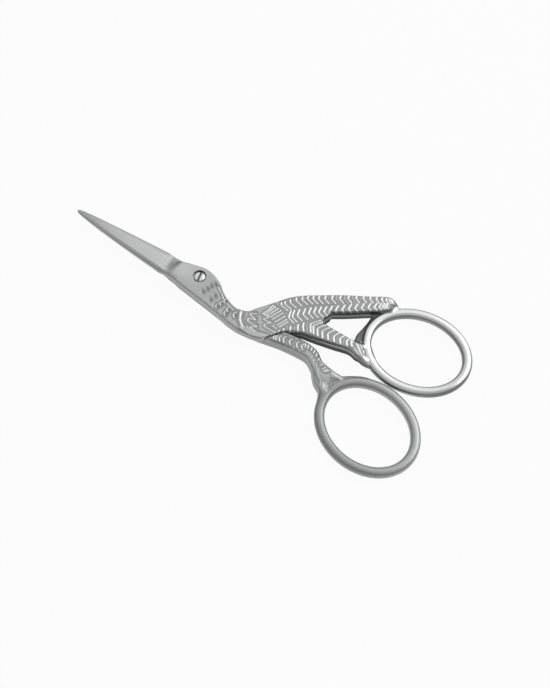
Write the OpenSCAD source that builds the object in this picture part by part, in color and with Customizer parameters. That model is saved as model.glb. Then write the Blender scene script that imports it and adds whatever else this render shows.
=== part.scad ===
// Stork embroidery scissors: two forged steel halves, lapped at the head and joined by one slotted screw.
// The origin is on the screw's axis, at the level of the flat back faces.
// X runs from the screw to the finger rings, Y towards the wing and the upper ring, Z up through the thickness.
// The scissors are drawn closed, and they open when the front half turns anticlockwise about the screw.

/* [Overall] */
// Thickness of the closed pair
thickness = 3.4; // [3:0.1:4.2]
// Distance from the screw to the far end of the finger rings
handle_length = 57.8; // [56:0.2:62]
// Gap between the flat inner faces of the two halves
ride_gap = 0.06; // [0.04:0.01:0.12]
// Gap between the stepped walls of the two halves
step_gap = 0.15; // [0.1:0.01:0.25]
// How far the back half's neck stays inside the front half's outline
back_inset = 0.35; // [0.25:0.01:0.45]

/* [Blades] */
// Length of the blades from the screw to the tip
blade_length = 31.5; // [26:0.5:38]
// Distance from the blade's axis to the cutting edge at the heel
heel_edge = 1.85; // [1.5:0.05:2.2]
// Distance from the blade's axis to the spine at the heel
heel_spine = 3.2; // [2.8:0.05:3.6]
// Width of the rounded tip
tip_width = 0.55; // [0.4:0.05:1]
// Thickness of one blade along its ridge at the heel
heel_thickness = 1.35; // [1.1:0.05:1.5]
// Thickness of one blade along its ridge at the tip
tip_thickness = 0.5; // [0.3:0.05:0.8]
// Thickness left along the cutting edge
edge_thickness = 0.15; // [0.1:0.05:0.3]
// Width of the narrow facet between the ridge and the spine
spine_facet = 0.75; // [0.5:0.05:1.1]
// Distance from the screw to the heel, where the ground blade begins
heel_distance = 8.8; // [8:0.1:10]
// Length of the slope between the ground blade and the head
plunge_length = 2.4; // [1.5:0.1:3]
// How far the outline dips in between the heel and the head
heel_dip = 0.7; // [0.4:0.05:0.9]

/* [Head and neck] */
// Width of the head across the screw
head_width = 6.8; // [6:0.1:7.6]
// Width of the neck at its narrowest
neck_width = 4; // [3.4:0.1:4.6]
// Distance from the screw to the narrowest place of the neck
neck_distance = 9; // [8:0.1:10]
// How far the neck bends below the screw's level
neck_drop = 3.6; // [3:0.1:4.2]

/* [Wing and legs] */
// Width of the body where the wing begins
shoulder_width = 9.5; // [9:0.1:10.5]
// Width of the tail above the window
tail_width = 4.5; // [4:0.1:5]
// Width of the tail's square end
tail_end_width = 3.6; // [3:0.1:4.2]
// Width of the front leg at its narrowest, below the window
front_leg_width = 2.6; // [2.2:0.1:3.2]
// Width of the back leg at its narrowest
back_leg_width = 3; // [2.6:0.1:3.4]
// Width of the bevel along the body's edges
bevel_width = 0.4; // [0.2:0.05:0.6]
// Height of the bevel along the body's edges
bevel_height = 0.6; // [0.3:0.05:0.9]

/* [Finger rings] */
// Inside length of each oval finger ring
ring_length = 18.8; // [17:0.2:21]
// Inside width of each oval finger ring
ring_width = 14.7; // [13.6:0.1:16]
// Width of the ring's band, seen from above
band_width = 2.2; // [1.8:0.05:2.8]
// Height of the ring's band
band_height = 2.1; // [1.6:0.1:2.8]
// Turn of the upper ring's long axis away from the handles' line
front_tilt = 6; // [0:1:12]
// Turn of the lower ring's long axis away from the handles' line
back_tilt = -16; // [-22:1:-10]
// Gap between the two rings when the scissors are closed
ring_gap = 0.2; // [0.15:0.05:0.6]
// How far the line between the rings lies above the screw's level
ring_level = 0.25; // [0:0.05:0.5]

/* [Screw] */
// Diameter of the screw's head
head_d = 2.3; // [2:0.05:2.6]
// Diameter of the recess that the head sits in
recess_d = 2.85; // [2.7:0.05:3.2]
// Depth of the recess below the front face
recess_depth = 0.75; // [0.6:0.05:0.9]
// Diameter of the plain part of the screw, which the front half turns on
shank_d = 1.8; // [1.6:0.05:1.9]
// Gap round the plain part of the screw
shank_clearance = 0.04; // [0.02:0.01:0.08]
// Diameter of the screw's threaded end
thread_d = 1.5; // [1.3:0.05:1.6]
// How deep the thread bites into the back half
thread_bite = 0.04; // [0.02:0.01:0.06]
// Width of the screwdriver slot
slot_width = 0.45; // [0.3:0.05:0.6]
// Depth of the screwdriver slot
slot_depth = 0.35; // [0.2:0.05:0.5]
// How far the screw's head stays below the front face
head_sink = 0.1; // [0.05:0.05:0.2]

/* [Hidden] */
middle = thickness / 2;
half_thickness = middle - ride_gap / 2;
far = 60;
curve_steps = 4;
ring_steps = 48;
band_sides = 12;
blade_steps = 10;
round_steps = 48;

// How the blade's width grows from the tip: below 1, its edges are slightly bellied
belly = 0.68;

// Turn of the screwdriver slot as the screw was left
slot_turn = 102;

// How deep one forging's blade and bars sink into each other
weld = 0.05;

// Gap under the screw's head, which lets the front half turn
seat_gap = 0.03;

// Centreline of a finger ring: half its length and half its width
ring_a = (ring_length + band_width) / 2;
ring_b = (ring_width + band_width) / 2;

// How far a tilted oval reaches along X and along Y from its centre
function reach_x(tilt) = sqrt(pow(ring_a * cos(tilt), 2) + pow(ring_b * sin(tilt), 2)) + band_width / 2;
function reach_y(tilt) = sqrt(pow(ring_a * sin(tilt), 2) + pow(ring_b * cos(tilt), 2)) + band_width / 2;

// The rings' ends are level, and the rings almost touch beside the handles' line
front_centre = [handle_length - reach_x(front_tilt), ring_level + reach_y(front_tilt) + ring_gap / 2];
back_centre = [handle_length - reach_x(back_tilt), ring_level - reach_y(back_tilt) - ring_gap / 2];

// A place on a ring: the angle round the oval, and the distance outwards from the band's centreline
function turned(p, tilt) = [p[0] * cos(tilt) - p[1] * sin(tilt), p[0] * sin(tilt) + p[1] * cos(tilt)];
function oval_normal(angle) = let (n = [ring_b * cos(angle), ring_a * sin(angle)]) n / norm(n);
function ring_spot(centre, tilt, angle, out) =
    centre + turned([ring_a * cos(angle), ring_b * sin(angle)] + out * oval_normal(angle), tilt);

// A smooth curve through stations of place, width and height
function between(p0, p1, p2, p3, t) =
    p1 + (p2 - p0) * t / 2 + (2 * p0 - 5 * p1 + 4 * p2 - p3) * t * t / 2
    + (3 * p1 - p0 - 3 * p2 + p3) * t * t * t / 2;
function smooth(s) = [
    for (i = [0 : len(s) - 2])
        for (k = [0 : curve_steps - (i == len(s) - 2 ? 0 : 1)])
            between(s[max(i - 1, 0)], s[i], s[i + 1], s[min(i + 2, len(s) - 1)], k / curve_steps)
];

// Direction across a row of stations at one of them, towards its left
function across(s, i) =
    let (a = s[max(i - 1, 0)], b = s[min(i + 1, len(s) - 1)], d = [a[1] - b[1], b[0] - a[0]]) d / norm(d);

// One long edge of a bar, from its stations: places and heights, grown outwards where a gap is wanted
function edge(s, side, grow) = smooth([
    for (i = [0 : len(s) - 1])
        concat([s[i][0], s[i][1]] + side * (s[i][2] / 2 + grow) * across(s, i), [s[i][3]])
]);
function flat(points) = [for (p = points) [p[0], p[1]]];

// Stations shared by both halves: place, width and height along the head and the neck
heel_top = heel_edge - heel_dip;
heel_foot = heel_spine + 0.15;
function head_stations(inset) = [
    [plunge_length - heel_distance, (heel_top - heel_foot) / 2, heel_top + heel_foot - 2 * inset, thickness],
    [-3.1, -1, (head_width + heel_top + heel_foot) / 2 - 2 * inset, thickness],
    [0.2, -0.9, head_width - 2 * inset, thickness],
    [neck_distance / 3, -1.6, head_width - 0.5 - 2 * inset, thickness],
    [neck_distance * 0.65, -neck_drop * 0.77, (head_width + neck_width) / 2 - 0.65 - 2 * inset, thickness],
    [neck_distance, -neck_drop, neck_width - 2 * inset, thickness]
];

// The front half's body widens from the neck into the breast and the root of the wing
shoulder = [26.4, 6.3];
front_stations = concat(head_stations(0), [
    [neck_distance + 2, -3.9, neck_width + 0.3, thickness],
    [13.6, -3.6, neck_width + 1.3, thickness],
    [16.2, -2.4, neck_width + 3.3, thickness],
    [18.8, 0.8, shoulder_width - 2.1, thickness],
    [21.1, 3.1, shoulder_width - 1, thickness],
    [24.1, 5.1, shoulder_width - 0.2, thickness],
    [shoulder[0], shoulder[1], shoulder_width - 0.6, thickness]
]);

// The tail runs straight from the shoulder to the upper ring, and the front leg runs below the window
low_height = band_height + 0.4;
tail_root = [22.8, 7.2];
tail_end = ring_spot(front_centre, front_tilt, 139, 1.9);
tail_stations = [
    [tail_root[0], tail_root[1], tail_width - 0.2, thickness],
    concat(tail_root * 0.62 + tail_end * 0.38, [tail_width, thickness]),
    concat(tail_root * 0.25 + tail_end * 0.75, [(tail_width + tail_end_width) / 2 - 0.1, thickness]),
    concat(tail_end, [tail_end_width, thickness - 0.4]),
    concat(ring_spot(front_centre, front_tilt, 130, 0.1), [band_width + 0.1, low_height])
];
leg_root = [22.5, 2.6];
leg_end = ring_spot(front_centre, front_tilt, 213, 0.5);
front_leg_stations = [
    [leg_root[0], leg_root[1], front_leg_width + 2.6, thickness],
    concat(leg_root * 0.7 + leg_end * 0.3 - [0, 0.25], [front_leg_width + 1.6, thickness]),
    concat(leg_root * 0.43 + leg_end * 0.57 - [0, 0.25], [front_leg_width + 0.7, thickness]),
    concat(leg_root * 0.2 + leg_end * 0.8 - [0, 0.2], [front_leg_width, thickness - 0.2]),
    concat(leg_end, [front_leg_width + 1.6, thickness - 0.6]),
    concat(ring_spot(front_centre, front_tilt, 227, 0), [band_width + 0.3, low_height])
];

// The back half runs on from the neck as one bar, bends down at the crotch and spreads into the lower ring
knee = [26.5, -2.3];
back_end = ring_spot(back_centre, back_tilt, 177, 0.4);
back_stations = concat(head_stations(back_inset), [
    [neck_distance + 2, -3.9, neck_width - 2 * back_inset, thickness],
    [14, -3.75, back_leg_width + 0.5, thickness],
    [17.5, -3.35, back_leg_width + 0.65, thickness],
    [22, -2.65, back_leg_width + 0.3, thickness],
    [knee[0], knee[1], back_leg_width + 0.2, thickness],
    concat(knee * 0.73 + back_end * 0.27 + [0, 0.7], [back_leg_width, thickness]),
    concat(knee * 0.5 + back_end * 0.5 + [-0.1, 0.25], [back_leg_width - 0.1, thickness - 0.1]),
    concat(knee * 0.17 + back_end * 0.83 + [0.3, 0.5], [back_leg_width + 2.2, thickness - 0.4]),
    concat(back_end, [back_leg_width + 3.2, low_height])
]);

// One bevelled bar along a curve, eight points to each section
module bar(stations) {
    right = edge(stations, -1, 0);
    left = edge(stations, 1, 0);
    points = [
        for (i = [0 : len(right) - 1])
            let (
                r = [right[i][0], right[i][1]],
                l = [left[i][0], left[i][1]],
                a = bevel_width * (l - r) / norm(l - r),
                half = min(right[i][2], thickness) / 2,
                low = middle - half,
                high = middle + half
            )
            for (p = [
                concat(r, [low + bevel_height]),
                concat(r, [high - bevel_height]),
                concat(r + a, [high]),
                concat(l - a, [high]),
                concat(l, [high - bevel_height]),
                concat(l, [low + bevel_height]),
                concat(l - a, [low]),
                concat(r + a, [low])
            ]) p
    ];
    loft(points, len(right), 8);
}

// Closed skin over a row of sections with the same number of points each
module loft(points, rows, sides) {
    skin = [
        for (i = [0 : rows - 2])
            for (j = [0 : sides - 1])
                let (a = i * sides + j, b = i * sides + (j + 1) % sides)
                for (f = [[a, b, b + sides], [a, b + sides, a + sides]]) f
    ];
    first = [for (j = [sides - 1 : -1 : 0]) j];
    last = [for (j = [0 : sides - 1]) (rows - 1) * sides + j];
    polyhedron(points = points, faces = concat(skin, [first, last]));
}

// A finger ring: an oval band with a rounded section
module finger_ring(centre, tilt) {
    points = [
        for (i = [0 : ring_steps - 1])
            for (j = [0 : band_sides - 1])
                let (
                    angle = i * 360 / ring_steps,
                    turn = (j + 0.5) * 360 / band_sides,
                    p = ring_spot(centre, tilt, angle, band_width / 2 * cos(turn))
                )
                [p[0], p[1], middle + band_height / 2 * sin(turn)]
    ];
    count = ring_steps * band_sides;
    faces = [
        for (i = [0 : ring_steps - 1])
            for (j = [0 : band_sides - 1])
                let (
                    a = i * band_sides + j,
                    b = i * band_sides + (j + 1) % band_sides,
                    c = (b + band_sides) % count,
                    d = (a + band_sides) % count
                )
                for (f = [[a, b, c], [a, c, d]]) f
    ];
    polyhedron(points = points, faces = faces);
}

// The clear space inside a finger ring, which the bars' ends stay out of
module finger_space(centre, tilt) {
    outline = [
        for (i = [0 : ring_steps - 1])
            ring_spot(centre, tilt, i * 360 / ring_steps, -band_width / 2)
    ];
    linear_extrude(thickness + 2)
        polygon(outline);
}

// One blade on the plane of its flat inner face, with its cutting edge towards +Y and its ridge up
module blade(cutting, spine, tang_cutting, tang_spine) {
    ground = blade_length - heel_distance;
    tang = [half_thickness - weld, half_thickness - bevel_height + weld];
    stations = concat(
        [for (i = [0 : blade_steps]) let (t = i / blade_steps) [
            -blade_length + ground * t,
            tip_width / 2 + (cutting - tip_width / 2) * pow(t, belly),
            tip_width / 2 + (spine - tip_width / 2) * pow(t, belly),
            tip_thickness + (heel_thickness - tip_thickness) * t,
            edge_thickness
        ]],
        [
            concat([plunge_length - heel_distance + 2 * weld, tang_cutting, tang_spine], tang),
            concat([-shank_d - 1, tang_cutting, tang_spine], tang)
        ]
    );
    points = [
        for (s = stations)
            for (p = [
                [s[0], -s[2], 0],
                [s[0], -s[2], s[3] * 0.55],
                [s[0], -s[2] + min(spine_facet, s[2] * 0.6), s[3]],
                [s[0], s[1], s[4]],
                [s[0], s[1], 0]
            ]) p
    ];
    loft(points, len(stations), 5);
}

// Space above the front half's lower edge, which the back half's upper layer leaves free
module front_side() {
    low = flat(edge(front_stations, -1, step_gap));
    translate([0, 0, middle - ride_gap / 2])
        linear_extrude(thickness)
            polygon(concat([[-far / 2, low[0][1]]], low, [[low[len(low) - 1][0], far], [-far / 2, far]]));
}

// Space below the back half's upper edge, which the front half's lower layer leaves free
module back_side() {
    high = flat(edge(back_stations, 1, back_inset + step_gap));
    translate([0, 0, middle + ride_gap / 2 - thickness])
        linear_extrude(thickness)
            polygon(concat([[-far / 2, high[0][1]]], high, [[high[len(high) - 1][0], -far], [-far / 2, -far]]));
}

module front_half() {
    color([0.72, 0.73, 0.74])
        difference() {
            union() {
                difference() {
                    union() {
                        bar(front_stations);
                        bar(tail_stations);
                        bar(front_leg_stations);
                    }
                    back_side();
                    finger_space(front_centre, front_tilt);
                }
                finger_ring(front_centre, front_tilt);
                translate([0, 0, middle + ride_gap / 2])
                    blade(heel_edge, heel_spine, heel_top - weld, heel_spine);
            }
            cylinder(h = thickness + 1, d = shank_d + 2 * shank_clearance, $fn = round_steps);
            translate([0, 0, thickness - recess_depth])
                cylinder(h = recess_depth + 1, d = recess_d, $fn = round_steps);
        }
}

module back_half() {
    color([0.68, 0.69, 0.7])
        difference() {
            union() {
                difference() {
                    bar(back_stations);
                    front_side();
                    finger_space(back_centre, back_tilt);
                }
                finger_ring(back_centre, back_tilt);
                translate([0, 0, middle - ride_gap / 2])
                    rotate([180, 0, 0])
                        blade(
                            heel_spine - back_inset, heel_edge - back_inset,
                            heel_spine - back_inset, heel_top - back_inset - weld
                        );
            }
            translate([0, 0, -1])
                cylinder(h = thickness + 2, d = thread_d - 2 * thread_bite, $fn = round_steps);
        }
}

module pivot_screw() {
    head_top = thickness - head_sink;
    seat = thickness - recess_depth + seat_gap;
    color([0.8, 0.8, 0.81])
        difference() {
            union() {
                cylinder(h = middle, d = thread_d, $fn = round_steps);
                translate([0, 0, middle - ride_gap / 2])
                    cylinder(h = seat - middle + ride_gap, d = shank_d, $fn = round_steps);
                intersection() {
                    translate([0, 0, seat])
                        cylinder(h = head_top - seat, d = head_d, $fn = round_steps);
                    translate([0, 0, head_top - head_d])
                        sphere(d = head_d * 2, $fn = round_steps);
                }
            }
            rotate([0, 0, slot_turn])
                translate([-head_d, -slot_width / 2, head_top - slot_depth])
                    cube([2 * head_d, slot_width, 1]);
        }
}

front_half();
back_half();
pivot_screw();
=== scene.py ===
# %% [markdown]
# A pair of stork embroidery scissors: two forged steel halves, lapped at the head and held by one screw.
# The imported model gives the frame: its bodies turn as the real halves do. Each node is replaced here by a piece
# with the forged shape, the chased feathers and the finish. All pieces are drawn in millimetres, in the frame's
# axes, and shrunk to metres at the end, because small numbers such as 0.4 mm then stay easy to read.

import math

import bmesh
import bpy
import numpy as np
from mathutils import Matrix, Vector


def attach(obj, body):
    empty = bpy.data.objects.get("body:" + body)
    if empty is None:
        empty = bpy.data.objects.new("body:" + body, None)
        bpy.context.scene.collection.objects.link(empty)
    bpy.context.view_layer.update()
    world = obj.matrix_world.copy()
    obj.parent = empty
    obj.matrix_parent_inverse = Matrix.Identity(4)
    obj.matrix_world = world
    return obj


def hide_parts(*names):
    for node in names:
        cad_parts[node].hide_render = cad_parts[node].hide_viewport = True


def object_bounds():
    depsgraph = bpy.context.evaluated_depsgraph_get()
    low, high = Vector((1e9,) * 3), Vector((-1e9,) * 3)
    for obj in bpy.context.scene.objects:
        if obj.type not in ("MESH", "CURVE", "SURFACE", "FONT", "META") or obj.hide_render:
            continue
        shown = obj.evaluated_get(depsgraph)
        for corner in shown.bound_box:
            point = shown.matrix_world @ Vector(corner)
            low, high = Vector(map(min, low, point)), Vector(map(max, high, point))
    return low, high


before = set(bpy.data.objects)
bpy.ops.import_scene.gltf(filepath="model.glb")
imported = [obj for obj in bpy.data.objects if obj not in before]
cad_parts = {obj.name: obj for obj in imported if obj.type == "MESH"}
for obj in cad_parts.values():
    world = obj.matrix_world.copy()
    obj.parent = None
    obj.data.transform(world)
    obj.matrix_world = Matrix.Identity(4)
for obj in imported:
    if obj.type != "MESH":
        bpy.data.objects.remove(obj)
cad_low, cad_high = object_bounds()
MM = 0.001
print("frame box in mm:", [round(v / MM, 2) for v in (*cad_low, *cad_high)])

# %% [markdown]
# The camera looks down on the scissors from the side of their flat belly, at 62.5 degrees, along a line that is
# turned 33 degrees against the blades. The lens and the distance were found from the photo's outline. The aim
# is the point of the table in the middle of the picture.

# %% The camera
PICTURE = (550, 688)
LENS_PIXELS = 1313.2
SENSOR = 36.0
VIEW_TURN = math.radians(33)
VIEW_HEIGHT = math.radians(62.5)
VIEW_DISTANCE = 268 * MM
AIM = Vector((20.72, -3.29, 0)) * MM

camera_data = bpy.data.cameras.new("camera")
camera_data.sensor_width = SENSOR
camera_data.lens = LENS_PIXELS * SENSOR / max(PICTURE)
camera = bpy.data.objects.new("camera", camera_data)
bpy.context.scene.collection.objects.link(camera)
bpy.context.scene.camera = camera
away = Vector((math.sin(VIEW_TURN), -math.cos(VIEW_TURN), 0)) * math.cos(VIEW_HEIGHT)
away.z = math.sin(VIEW_HEIGHT)
camera.location = AIM + away * VIEW_DISTANCE
camera.rotation_euler = (-away).to_track_quat("-Z", "Y").to_euler()
camera_data.clip_start = 0.01
print("lens in mm:", round(camera_data.lens, 1))

# %% [markdown]
# The numbers below are the forging's own. The sizes are those of the solids, so that the pieces fit the joint, the
# lap and the rings. A station is a place on a bar's middle line with the bar's width and height.

# %% Sizes of the two halves
THICKNESS = (cad_high.z - cad_low.z) / MM
MIDDLE = THICKNESS / 2
HANDLE_LENGTH = 57.8
RIDE_GAP = 0.06
STEP_GAP = 0.15
BACK_INSET = 0.35

BLADE_LENGTH = -cad_low.x / MM
HEEL_EDGE = 1.85
HEEL_SPINE = 3.2
TIP_WIDTH = 0.55
HEEL_THICKNESS = 1.35
TIP_THICKNESS = 0.5
EDGE_THICKNESS = 0.15
SPINE_FACET = 0.75
HEEL_DISTANCE = 8.8
PLUNGE_START = -7.6
PLUNGE_END = -4.9
HEEL_DIP = 0.5
BELLY = 0.68

HEAD_WIDTH = 6.8
NECK_WIDTH = 4.0
NECK_DISTANCE = 9.0
NECK_DROP = 3.6
SHOULDER_WIDTH = 9.5
TAIL_WIDTH = 4.5
TAIL_END_WIDTH = 3.6
FRONT_LEG_WIDTH = 2.6
BACK_LEG_WIDTH = 3.0
BEVEL_WIDTH = 0.4
BEVEL_HEIGHT = 0.6

RING_LENGTH = 18.8
RING_WIDTH = 14.7
BAND_WIDTH = 2.2
BAND_HEIGHT = 2.1
FRONT_TILT = math.radians(6)
BACK_TILT = math.radians(-16)
RING_GAP = 0.2
RING_LEVEL = 0.25

RING_A = (RING_LENGTH + BAND_WIDTH) / 2
RING_B = (RING_WIDTH + BAND_WIDTH) / 2


def reach(tilt, along, beside):
    """How far a tilted oval band reaches from its centre."""
    return math.hypot(RING_A * along(tilt), RING_B * beside(tilt)) + BAND_WIDTH / 2


def ring_centre(tilt, side):
    """Centre of the ring above (side 1) or below (side -1) the handles' line."""
    x = HANDLE_LENGTH - reach(tilt, math.cos, math.sin)
    y = RING_LEVEL + side * (reach(tilt, math.sin, math.cos) + RING_GAP / 2)
    return np.array([x, y])


FRONT_CENTRE = ring_centre(FRONT_TILT, 1)
BACK_CENTRE = ring_centre(BACK_TILT, -1)
FRONT_RING = (FRONT_CENTRE, FRONT_TILT)
BACK_RING = (BACK_CENTRE, BACK_TILT)
print("ring centres in mm:", FRONT_CENTRE.round(2), BACK_CENTRE.round(2))

# %% [markdown]
# A ring is an oval band. Its centreline is an ellipse, and a place on it is given by an angle and a distance
# outwards along the ellipse's normal. The bars' ends and the ring's own mesh both use this one function.

# %% Places on a ring
def turned(point, tilt):
    """A point of the plane turned about the origin."""
    c, s = math.cos(tilt), math.sin(tilt)
    return np.array([point[0] * c - point[1] * s, point[0] * s + point[1] * c])


def ring_spot(centre, tilt, degrees, out):
    """The place at an angle round the oval, out mm outside the band's centreline."""
    c, s = math.cos(math.radians(degrees)), math.sin(math.radians(degrees))
    normal = np.array([RING_B * c, RING_A * s])
    local = np.array([RING_A * c, RING_B * s]) + out * normal / np.linalg.norm(normal)
    return centre + turned(local, tilt)


# %% [markdown]
# The bird's neck, body, tail and legs are bars that follow smooth curves. Catmull-Rom interpolation goes through
# every station, so the few chosen places are exactly where the outline is. Each long edge is smoothed by itself,
# because a bar that bends sharply would otherwise fold on its inner side.

# %% Smooth curves through stations
CURVE_STEPS = 8


def between(p0, p1, p2, p3, t):
    """Catmull-Rom: the point at t from p1 to p2."""
    return (
        p1 + (p2 - p0) * t / 2 + (2 * p0 - 5 * p1 + 4 * p2 - p3) * t**2 / 2
        + (3 * p1 - p0 - 3 * p2 + p3) * t**3 / 2
    )


def smooth_path(points, steps):
    """The smooth curve through the points, steps to a span."""
    p = [np.array(q, float) for q in points]
    last = len(p) - 1
    curve = [
        between(p[max(i - 1, 0)], p[i], p[i + 1], p[min(i + 2, last)], k / steps)
        for i in range(last)
        for k in range(steps)
    ]
    return np.array([*curve, p[last]])


def long_edge(stations, side, grow=0.0):
    """One long edge of a bar: places and heights, grown outwards where a gap is wanted."""
    last = len(stations) - 1
    points = []
    for i, (x, y, width, height) in enumerate(stations):
        before, after = stations[max(i - 1, 0)], stations[min(i + 1, last)]
        left = np.array([before[1] - after[1], after[0] - before[0]])
        left = left / np.linalg.norm(left)
        place = np.array([x, y]) + side * (width / 2 + grow) * left
        points.append((*place, height))
    return smooth_path(points, CURVE_STEPS)


# %% [markdown]
# The head and neck have the same middle line in both halves. The back half's neck is a little narrower, so it
# stays out of sight behind the front one. The front half then widens into breast and wing, and splits into the
# tail and the front leg round the open window. The back half runs on as one leg. Tail and feet get thin towards
# their ends, so that they sink into the finger rings and the rings' bands run on above them. Small bars for the
# web, the toes, the spur and the shoulder fill the corners there, which the plainer solids leave out.

# %% Stations of the bars
HEEL_TOP = HEEL_EDGE - HEEL_DIP
HEEL_FOOT = HEEL_SPINE + 0.3
SUNK_HEIGHT = BAND_HEIGHT - 0.7


def head_stations(inset):
    """Head and neck, drawn inwards all round by the inset."""
    places = [
        (PLUNGE_END, (HEEL_TOP - HEEL_FOOT) / 2, HEEL_TOP + HEEL_FOOT),
        (-3.1, -1, (HEAD_WIDTH + HEEL_TOP + HEEL_FOOT) / 2 - 0.1),
        (0.2, -0.9, HEAD_WIDTH),
        (NECK_DISTANCE / 3, -1.6, HEAD_WIDTH - 0.5),
        (NECK_DISTANCE * 0.65, -NECK_DROP * 0.77, (HEAD_WIDTH + NECK_WIDTH) / 2 - 0.65),
        (NECK_DISTANCE, -NECK_DROP, NECK_WIDTH),
    ]
    return [(x, y, width - 2 * inset, THICKNESS) for x, y, width in places]


def part_way(start, end, share, shift, width, height):
    """A station that lies a share of the way from start to end, moved a little aside."""
    x, y = np.array(start) * (1 - share) + np.array(end) * share + np.array(shift)
    return (x, y, width, height)


front_stations = head_stations(0) + [
    (NECK_DISTANCE + 2, -3.9, NECK_WIDTH + 0.3, THICKNESS),
    (13.6, -3.6, NECK_WIDTH + 1.3, THICKNESS),
    (16.2, -2.4, NECK_WIDTH + 3.3, THICKNESS),
    (18.8, 0.8, SHOULDER_WIDTH - 2.1, THICKNESS),
    (21.1, 3.1, SHOULDER_WIDTH - 1, THICKNESS),
    (24.1, 5.1, SHOULDER_WIDTH - 0.2, THICKNESS),
    (26.4, 6.3, SHOULDER_WIDTH - 0.6, THICKNESS),
]

TAIL_ROOT = (22.8, 7.2)
TAIL_END = ring_spot(*FRONT_RING, 140, 2.0)
tail_stations = [
    (*TAIL_ROOT, TAIL_WIDTH - 0.2, THICKNESS),
    part_way(TAIL_ROOT, TAIL_END, 0.38, (0, 0), TAIL_WIDTH, THICKNESS),
    part_way(TAIL_ROOT, TAIL_END, 0.75, (0, 0), (TAIL_WIDTH + TAIL_END_WIDTH) / 2 - 0.1, THICKNESS),
    (*TAIL_END, TAIL_END_WIDTH, THICKNESS),
    (*ring_spot(*FRONT_RING, 138, 1.4), TAIL_END_WIDTH - 0.5, THICKNESS - 0.25),
    (*ring_spot(*FRONT_RING, 132, 0.1), BAND_WIDTH, SUNK_HEIGHT - 0.2),
]
pocket_stations = [(24.0, 7.6, 3.0, THICKNESS), (27.1, 6.35, 2.4, THICKNESS)]
web_stations = [
    (*ring_spot(*FRONT_RING, angle, width / 2), width, SUNK_HEIGHT - 0.2)
    for angle, width in ((146, 3.0), (155, 2.4), (166, 1.6), (179, 1.6), (191, 2.3), (203, 3.0))
]

LEG_ROOT = (22.5, 2.6)
LEG_END = ring_spot(*FRONT_RING, 213, 0.5)
front_leg_stations = [
    (*LEG_ROOT, FRONT_LEG_WIDTH + 2.6, THICKNESS),
    part_way(LEG_ROOT, LEG_END, 0.3, (0, -0.25), FRONT_LEG_WIDTH + 1.6, THICKNESS),
    part_way(LEG_ROOT, LEG_END, 0.57, (0, -0.25), FRONT_LEG_WIDTH + 0.7, THICKNESS),
    part_way(LEG_ROOT, LEG_END, 0.8, (0, -0.2), FRONT_LEG_WIDTH, THICKNESS - 0.2),
    (*ring_spot(*FRONT_RING, 211, 1.7), FRONT_LEG_WIDTH + 0.8, THICKNESS - 0.4),
    (*LEG_END, FRONT_LEG_WIDTH + 1.6, SUNK_HEIGHT),
    (*ring_spot(*FRONT_RING, 227, 0), BAND_WIDTH + 0.3, SUNK_HEIGHT),
]

front_toe_stations = [
    (34.6, 3.6, 1.6, THICKNESS - 0.4),
    (36.9, 2.85, 1.6, THICKNESS - 0.7),
    (38.7, 2.35, 1.7, SUNK_HEIGHT + 0.7),
    (40.6, 2.3, 1.5, SUNK_HEIGHT),
]

KNEE = (26.5, -2.3)
BACK_END = ring_spot(*BACK_RING, 177, 0.4)
back_stations = head_stations(BACK_INSET) + [
    (NECK_DISTANCE + 2, -3.9, NECK_WIDTH - 2 * BACK_INSET, THICKNESS),
    (14, -3.75, BACK_LEG_WIDTH + 0.5, THICKNESS),
    (17.5, -3.35, BACK_LEG_WIDTH + 0.65, THICKNESS),
    (22, -2.65, BACK_LEG_WIDTH + 0.3, THICKNESS),
    (*KNEE, BACK_LEG_WIDTH + 0.2, THICKNESS),
    part_way(KNEE, BACK_END, 0.27, (0, 0.7), BACK_LEG_WIDTH, THICKNESS),
    part_way(KNEE, BACK_END, 0.5, (-0.1, 0.25), BACK_LEG_WIDTH - 0.1, THICKNESS - 0.1),
    part_way(KNEE, BACK_END, 0.8, (0.1, 0.15), BACK_LEG_WIDTH + 1.5, THICKNESS - 0.5),
    (*BACK_END, BACK_LEG_WIDTH + 3.0, SUNK_HEIGHT),
]
toe_stations = [
    part_way(KNEE, BACK_END, 0.55, (-0.3, -0.6), BACK_LEG_WIDTH - 1.2, THICKNESS - 0.4),
    (33.1, -6.6, BACK_LEG_WIDTH - 0.8, THICKNESS - 0.7),
    (*ring_spot(*BACK_RING, 190, 0.9), 2.0, BAND_HEIGHT + 0.3),
    (*ring_spot(*BACK_RING, 202, 0.35), 1.7, SUNK_HEIGHT),
    (*ring_spot(*BACK_RING, 212, 0), 1.6, SUNK_HEIGHT - 0.3),
]
shoulder_stations = [
    (*ring_spot(*BACK_RING, angle, 0.55), width, SUNK_HEIGHT + 0.3)
    for angle, width in ((167, 2.3), (160, 2.2), (148, 1.7), (134, 1.5), (118, 1.0))
]
spur_stations = [
    (33.8, -5.2, 1.6, THICKNESS - 0.5), (35.4, -4.0, 1.8, THICKNESS - 0.7), (36.9, -3.75, 1.5, SUNK_HEIGHT + 0.4)
]
print("stations:", len(front_stations), len(tail_stations), len(front_leg_stations), len(back_stations))

# %% [markdown]
# A bar could be a curve with a bevel object, but its section has to change from station to station. So each
# section is a loop of eight corners, and bridge_loops makes the skin from one loop to the next.

# %% Skins over sections
def section_loop(bm, corners):
    """A closed loop of edges through the corners."""
    verts = [bm.verts.new(corner) for corner in corners]
    return [bm.edges.new(pair) for pair in zip(verts, verts[1:] + verts[:1])]


def skin(bm, sections):
    """Bridges every section to the next and closes both ends."""
    loops = [section_loop(bm, corners) for corners in sections]
    for near, far in zip(loops, loops[1:]):
        bmesh.ops.bridge_loops(bm, edges=near + far)
    for end in (loops[0], loops[-1]):
        bmesh.ops.contextual_create(bm, geom=end)


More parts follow.
